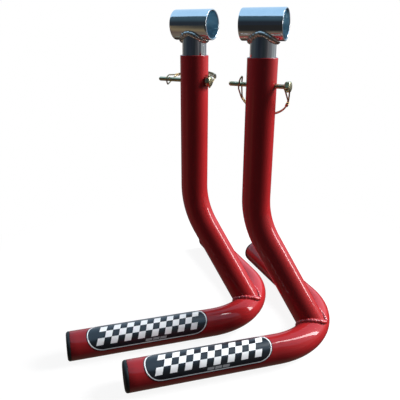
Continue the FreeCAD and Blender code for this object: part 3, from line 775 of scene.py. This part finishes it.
def build_label(side):
    """A black film with a white border line, a plain slanted checker and three grey dashes."""
    path, way = arm_path(FRONT)
    heading = Matrix.Rotation(turn_of(-way), 4, "Z")
    tilt = Matrix.Rotation(math.radians(LABEL_TILT[side]), 4, "X")
    place = stand_matrix(side) @ Matrix.Translation(path[-1]) @ heading @ tilt
    start = LABEL_START[side]
    low_u = start + (LABEL_SPAN - BLOCK_CELLS * BLOCK_WIDE - BLOCK_SLANT * (BLOCK_ROWS - 1)) / 2
    low_w = -BLOCK_ROWS * BLOCK_TALL / 2

    def block(row, n):
        u, w = low_u + n * BLOCK_WIDE + BLOCK_SLANT * row, low_w + row * BLOCK_TALL
        return slanted_block(u, w, BLOCK_WIDE, BLOCK_TALL, BLOCK_SLANT, place)

    def dash(share):
        u, w = start + LABEL_SPAN * share, low_w - DASH_BELOW
        return slanted_block(u, w, DASH_WIDE, DASH_TALL, DASH_SLANT, place)

    blocks = [block(row, n) for row in range(BLOCK_ROWS) for n in range(row % 2, BLOCK_CELLS, 2)]
    dashes = [dash(share) for share in DASHES_AT]
    name = f"{side}_film"
    for mesh, material, replaced in (
        (film_mesh(name, start, place), FILM_BLACK, f"{side}_label"),
        (border_mesh(f"{name}_border", start, place), FILM_WHITE, None),
        (join_meshes(f"{name}_blocks", blocks), FILM_WHITE, None),
        (join_meshes(f"{name}_dashes", dashes), FILM_GREY, None),
    ):
        new_piece(mesh.name, mesh, f"{side}_stand", material, replaced)


# ------------------------------------------------------------------ the plated head

def sleeve_profile():
    """The sleeve's section as (radius, height): two walls joined by rounded rims."""
    reach, steps = SLEEVE_SPAN / 2 - SLEEVE_RIM, 24
    outer = [(SLEEVE_R, reach * (2 * n / steps - 1)) for n in range(steps + 1)]
    inner = [(SLEEVE_BORE, height) for _, height in reversed(outer)]

    def rim(radius, thicker, end):
        """From a wall round to an end face; thicker is the sign that leads into the metal."""
        return [
            (
                radius + thicker * SLEEVE_RIM * (1 - math.cos(angle)),
                end * (reach + SLEEVE_RIM * math.sin(angle)),
            )
            for angle in quarter_turn(4)[1:]
        ]

    top = rim(SLEEVE_R, -1, 1) + list(reversed(rim(SLEEVE_BORE, 1, 1)))
    bottom = rim(SLEEVE_BORE, 1, -1) + list(reversed(rim(SLEEVE_R, -1, -1)))
    return outer + top + inner + bottom


def build_head(side):
    """The cross sleeve, its bore left dull, and the plated bead under it."""
    place, body = sleeve_matrix(side), f"{side}_head"
    lengthwise = place @ Matrix.Rotation(math.pi / 2, 4, "Y")
    sleeve = lathe_mesh(f"{side}_sleeve", sleeve_profile(), lengthwise, SLEEVE_SIDES)
    new_piece(f"{side}_sleeve", sleeve, body, ZINC, f"{side}_head_sleeve")
    sleeve.materials.append(ZINC_BORE)
    to_sleeve, bore_skin = lengthwise.inverted(), SLEEVE_BORE + 0.1 * MM
    for face in sleeve.polygons:
        if (to_sleeve @ face.center).to_2d().length < bore_skin:
            face.material_index = 1
    bead = bead_mesh(
        f"{side}_head_bead", head_curve(), HEAD_BEAD_R, HEAD_RIPPLE, HEAD_RELIEF, place
    )
    new_piece(f"{side}_head_bead", bead, body, ZINC_WELD, f"{side}_head_weld", 60)


# ------------------------------------------------------------------ the pin and its bow

def rod_profile():
    """The pin's rod as (radius, height): a rounded tip and a body that stops short of the head."""
    tip = -PIN_SPAN
    outline = [(AXIS_R, tip), (PIN_R - PIN_TIP, tip)]
    outline += [(PIN_R - 0.25 * MM, tip + PIN_TIP * 0.85), (PIN_R, tip + PIN_TIP * 1.3)]
    outline += [(PIN_R, tip + PIN_SPAN * n / 12) for n in range(1, 12)]
    return outline + [(PIN_R, -ROD_GAP), (AXIS_R, -ROD_GAP)]


def head_profile():
    """The pin head as (height, widest radius): washer face, chamfer, corners and crown."""
    flat = HEAD_FLATS / 2
    corner = flat / math.cos(math.pi / 6)
    chamfer, chamfer_at, chamfer_tall = flat * 0.97, 0.3 * MM, 0.9 * MM
    crown, crown_at, crown_tall, crown_curve = flat * 0.9, HEAD_THICK - 1.3 * MM, 1.2 * MM, 1.4
    levels = [(0.0, PIN_R), (0.0, flat * 0.93), (0.25 * MM, flat * 0.95)]
    for share in (n / 4 for n in range(5)):
        levels.append((chamfer_at + chamfer_tall * share, chamfer + (corner - chamfer) * share))
    levels.append((crown_at, corner))
    for share in (n / 5 for n in range(1, 6)):
        drawn_in = (corner - crown) * share ** crown_curve
        levels.append((crown_at + crown_tall * share, corner - drawn_in))
    return levels + [(HEAD_THICK, flat * 0.84), (HEAD_THICK, 0.3 * MM)]


def head_mesh(name, matrix):
    """The pin's six-sided head: its flats, cut back to the profile where that is narrower."""
    def flats_at(angle):
        """How far the flats are from the axis at an angle."""
        sector = math.pi / 3
        offset = (angle + sector / 2) % sector - sector / 2
        return HEAD_FLATS / 2 / math.cos(offset)

    rings = []
    for height, widest in head_profile():
        ring = []
        for angle in full_turn(TUBE_SIDES):
            radius = min(flats_at(angle), widest)
            ring.append(Vector((radius * math.cos(angle), radius * math.sin(angle), height)))
        rings.append(ring)
    return mesh_from_rings(name, rings, matrix, closed=False)


def bow_points():
    """Half of the bow's path in the pin's frame, from inside the head to its loop's middle."""
    hinge, half_chord, rise = HEAD_THICK / 2, BOW_SPAN / 2 - BOW_INSET, BOW_DEPTH - BOW_WAIST
    radius = (half_chord ** 2 + rise ** 2) / (2 * rise)
    centre = Vector((STRAND_OFFSET, BOW_DEPTH - radius, hinge - BOW_SPAN / 2))
    reach = math.asin(half_chord / radius)

    def beside(angle, out, ahead):
        spoke = Vector((0, math.cos(angle), math.sin(angle)))
        return centre + spoke * out + Vector((0, math.sin(angle), -math.cos(angle))) * ahead

    corner = radius / math.cos(reach / 2)
    loop_z = hinge - LOOP_AT
    return rounded_path([
        (Vector((WIRE_START, 0, hinge)), 0),
        (Vector((HEAD_FLATS / 2 + BOW_STAND_OFF, 0, hinge)), BOW_BEND),
        (beside(reach, radius, -BOW_LEAD), BOW_EASE),
        (beside(reach / 2, corner, 0), radius),
        (beside(-reach / 2, corner, 0), radius),
        (beside(-reach, radius, BOW_LEAD), BOW_EASE),
        (Vector((BOW_LOOP, PIN_R, loop_z)), BOW_EASE),
        (Vector((BOW_LOOP, -BOW_APEX, loop_z + LOOP_LEAN)), BOW_LOOP),
        (Vector((0, -BOW_APEX, loop_z + LOOP_LEAN)), 0),
    ])


def build_pin(side):
    """The rod, its six-sided head and the wire bow."""
    place = pin_matrix(side)
    rod = lathe_mesh(f"{side}_rod", rod_profile(), place, ROD_SIDES, closed=False)
    new_piece(f"{side}_rod", rod, f"{side}_pin", YELLOW, f"{side}_pin_rod")
    head = head_mesh(f"{side}_head_nut", place)
    new_piece(
        f"{side}_head_nut", head, f"{side}_pin_head", YELLOW, f"{side}_pin_head", 50
    )
    half = bow_points()
    path = half + [Vector((-p.x, p.y, p.z)) for p in reversed(half)]
    wire = wire_mesh(f"{side}_wire", path, place)
    new_piece(f"{side}_wire", wire, f"{side}_bow", WIRE, f"{side}_retaining_bow")


def paint_node(node, material):
    """Give a CAD node that is shown as it is a material."""
    mesh = frame["nodes"][node].data
    mesh.materials.clear()
    mesh.materials.append(material)


for side in SIDES:
    build_frame(side)
    build_label(side)
    build_head(side)
    build_pin(side)
    paint_node(f"{side}_head_stem", ZINC_STEM)
    paint_node(f"{side}_bow_crimp", WIRE)


# ------------------------------------------------------------------ floor, light and camera

FLOOR_HALF, FLOOR_DROP = 20.0, 0.05 * MM
FLOOR_FADE = (0.25, 0.55)
ROOM_MIDDLE = Vector((0, 0, 0.2))

# Round the horizon, 0 is -X, 0.25 is -Y (the camera's side), 0.5 is +X and 0.75 is +Y.
GROUND_RING = [
    (0.00, (0.14, 0.12, 0.11)), (0.05, (0.10, 0.07, 0.06)), (0.10, (0.10, 0.065, 0.06)),
    (0.142, (0.22, 0.17, 0.10)), (0.160, (0.045, 0.045, 0.04)), (0.19, 0.02), (0.30, 0.02),
    (0.50, (0.04, 0.02, 0.016)), (0.60, (0.05, 0.025, 0.02)), (0.70, (0.03, 0.02, 0.018)),
    (0.90, (0.02, 0.015, 0.014)), (0.93, (0.04, 0.03, 0.03)), (0.957, (0.20, 0.17, 0.16)),
    (1.00, (0.14, 0.12, 0.11)),
]
WALL_RING = [
    (0.00, (0.07, 0.08, 0.085)), (0.08, (0.05, 0.06, 0.07)), (0.13, (0.022, 0.03, 0.04)),
    (0.24, (0.018, 0.022, 0.03)), (0.33, (0.022, 0.028, 0.032)), (0.40, (0.075, 0.07, 0.075)),
    (0.49, (0.19, 0.185, 0.19)), (0.58, (0.33, 0.35, 0.35)), (0.66, (0.40, 0.41, 0.42)),
    (0.74, (0.20, 0.22, 0.25)), (0.85, (0.16, 0.17, 0.19)), (0.90, (0.34, 0.30, 0.25)),
    (0.94, (0.20, 0.19, 0.18)), (1.00, (0.07, 0.08, 0.085)),
]
# How high the walls reach, as the height of a direction of length 1.
ROOF_LINE = [
    (0.00, 0.25), (0.10, 0.80), (0.30, 0.80), (0.45, 0.70), (0.52, 0.40), (0.60, 0.05),
    (0.85, 0.05), (1.00, 0.25),
]
SKY_RISE = [(0.0, (0.80, 0.95, 1.10)), (0.4, (0.55, 0.80, 1.05)), (1.0, (0.42, 0.70, 1.00))]
NEAR_GROUND, HIGH_WALL = (0.16, 0.125, 0.095), (0.045, 0.085, 0.115)
SOFT_FILL = (0.12, 0.12, 0.13)
GROUND_FADE, HORIZON, WALL_FADE, ROOF_BLUR = (-0.88, -0.64), (-0.14, -0.08), (0.2, 0.62), 0.015

# Each lamp: its turn and rise in degrees, width and height in metres, watts, and the rays that
# don't see it.
LAMP_DISTANCE = 2.2
LAMPS = {
    "bright_side": (44, 28, 1.3, 1.3, 185, "visible_glossy"),
    "far_side": (190, 10, 1.0, 1.0, 16, "visible_glossy"),
    "tall_window": (30, 36, 0.32, 2.6, 44, "visible_diffuse"),
}

# The camera stands in front of the left column, to its right. Its turns are in radians.
CAMERA_FROM_LEFT_COLUMN = Vector((311.6, -615.4, 426.0)) * MM
CAMERA_HEADING, CAMERA_DIP, CAMERA_ROLL = -0.456, 0.3438, 0.004
FOCAL_IN_FRAMES = 468.04 / 400
SENSOR = 36


def pale_floor(graph, shader):
    """A pale floor that takes soft shadows near the stands and is plain white away from them."""
    place = graph.place()
    far = graph.between(graph.length(place), *FLOOR_FADE)
    near = graph.mix(graph.noise(place, 3, 3), (0.12, 0.12, 0.12), (0.14, 0.14, 0.14))
    graph.set_all(
        shader,
        Base_Color=graph.mix(far, near, (0, 0, 0)),
        Roughness=0.9,
        Specular_IOR_Level=0.0,
        Emission_Color=(1, 1, 1),
        Emission_Strength=graph.math("ADD", graph.math("MULTIPLY", far, 0.1), 0.9),
    )


def build_floor():
    """The floor. Only the camera sees it, so that the tubes mirror the room instead."""
    mesh = bpy.data.meshes.new("floor")
    ends = (-FLOOR_HALF, FLOOR_HALF)
    corners = [(x, ends[0], 0) for x in ends] + [(x, ends[1], 0) for x in reversed(ends)]
    mesh.from_pydata(corners, [], [(0, 1, 2, 3)])
    mesh.materials.append(surface("pale_floor", pale_floor))
    floor = bpy.data.objects.new("floor", mesh)
    bpy.context.scene.collection.objects.link(floor)
    floor.location.z = -FLOOR_DROP
    for ray in ("visible_diffuse", "visible_glossy", "visible_transmission", "visible_shadow"):
        setattr(floor, ray, False)


def build_room():
    """The light: a room painted by direction, with open sky behind and above, and a bright side."""
    world = bpy.data.worlds.new("room")
    bpy.context.scene.world = world
    world.use_nodes = True
    graph = Graph(world.node_tree)
    direction = graph.node("ShaderNodeTexCoord").outputs["Generated"]
    x, y, up = list(graph.node("ShaderNodeSeparateXYZ", Vector=direction).outputs)[:3]
    heading = graph.math("ARCTAN2", y, x)
    turn = graph.math("ADD", graph.math("DIVIDE", heading, 2 * math.pi), 0.5)
    ring = graph.ramp(turn, GROUND_RING)
    ground = graph.mix(graph.between(up, *GROUND_FADE), NEAR_GROUND, ring)
    wall = graph.mix(graph.between(up, *WALL_FADE), graph.ramp(turn, WALL_RING), HIGH_WALL)
    over_roof = graph.math("SUBTRACT", up, graph.ramp(turn, ROOF_LINE))
    under_sky = graph.mix(graph.between(up, *HORIZON), ground, wall)
    in_sky = graph.between(over_roof, -ROOF_BLUR, ROOF_BLUR)
    colour = graph.mix(in_sky, under_sky, graph.ramp(up, SKY_RISE))
    ray = graph.node("ShaderNodeLightPath").outputs
    colour = graph.mix(ray["Is Diffuse Ray"], colour, SOFT_FILL)
    colour = graph.mix(ray["Is Camera Ray"], colour, (1, 1, 1))
    background = graph.node("ShaderNodeBackground", Color=colour, Strength=1.0)
    graph.node("ShaderNodeOutputWorld", Surface=background.outputs[0])


def toward(turn_deg, rise_deg):
    """A lamp's place, in a direction from the stands' middle."""
    turn, rise = math.radians(turn_deg), math.radians(rise_deg)
    level = math.cos(rise)
    way = Vector((math.cos(turn) * level, math.sin(turn) * level, math.sin(rise)))
    return ROOM_MIDDLE + way * LAMP_DISTANCE


def build_lamps():
    for name, (turn, rise, width, height, watts, blind_rays) in LAMPS.items():
        light = bpy.data.lights.new(name, "AREA")
        light.shape, light.size, light.size_y = "RECTANGLE", width, height
        light.energy = watts
        lamp = bpy.data.objects.new(name, light)
        bpy.context.scene.collection.objects.link(lamp)
        lamp.location = toward(turn, rise)
        lamp.rotation_euler = (ROOM_MIDDLE - lamp.location).to_track_quat("-Z", "Y").to_euler()
        setattr(lamp, blind_rays, False)


def build_camera():
    data = bpy.data.cameras.new("camera")
    camera = bpy.data.objects.new("camera", data)
    bpy.context.scene.collection.objects.link(camera)
    data.sensor_fit, data.sensor_width = "HORIZONTAL", SENSOR
    data.lens = FOCAL_IN_FRAMES * SENSOR
    level = math.cos(CAMERA_DIP)
    heading_x, heading_y = math.sin(CAMERA_HEADING), math.cos(CAMERA_HEADING)
    forward = Vector((heading_x * level, heading_y * level, -math.sin(CAMERA_DIP)))
    right = Vector((heading_y, -heading_x, 0))
    up = right.cross(forward)
    cos, sin = math.cos(CAMERA_ROLL), math.sin(CAMERA_ROLL)
    axes = Matrix((right * cos + up * sin, up * cos - right * sin, -forward))
    place = stand_matrix("left").translation + CAMERA_FROM_LEFT_COLUMN
    camera.matrix_world = Matrix.Translation(place) @ axes.transposed().to_4x4()
    bpy.context.scene.camera = camera


build_floor()
build_room()
build_lamps()
build_camera()
bpy.context.scene.view_settings.view_transform = "Standard"
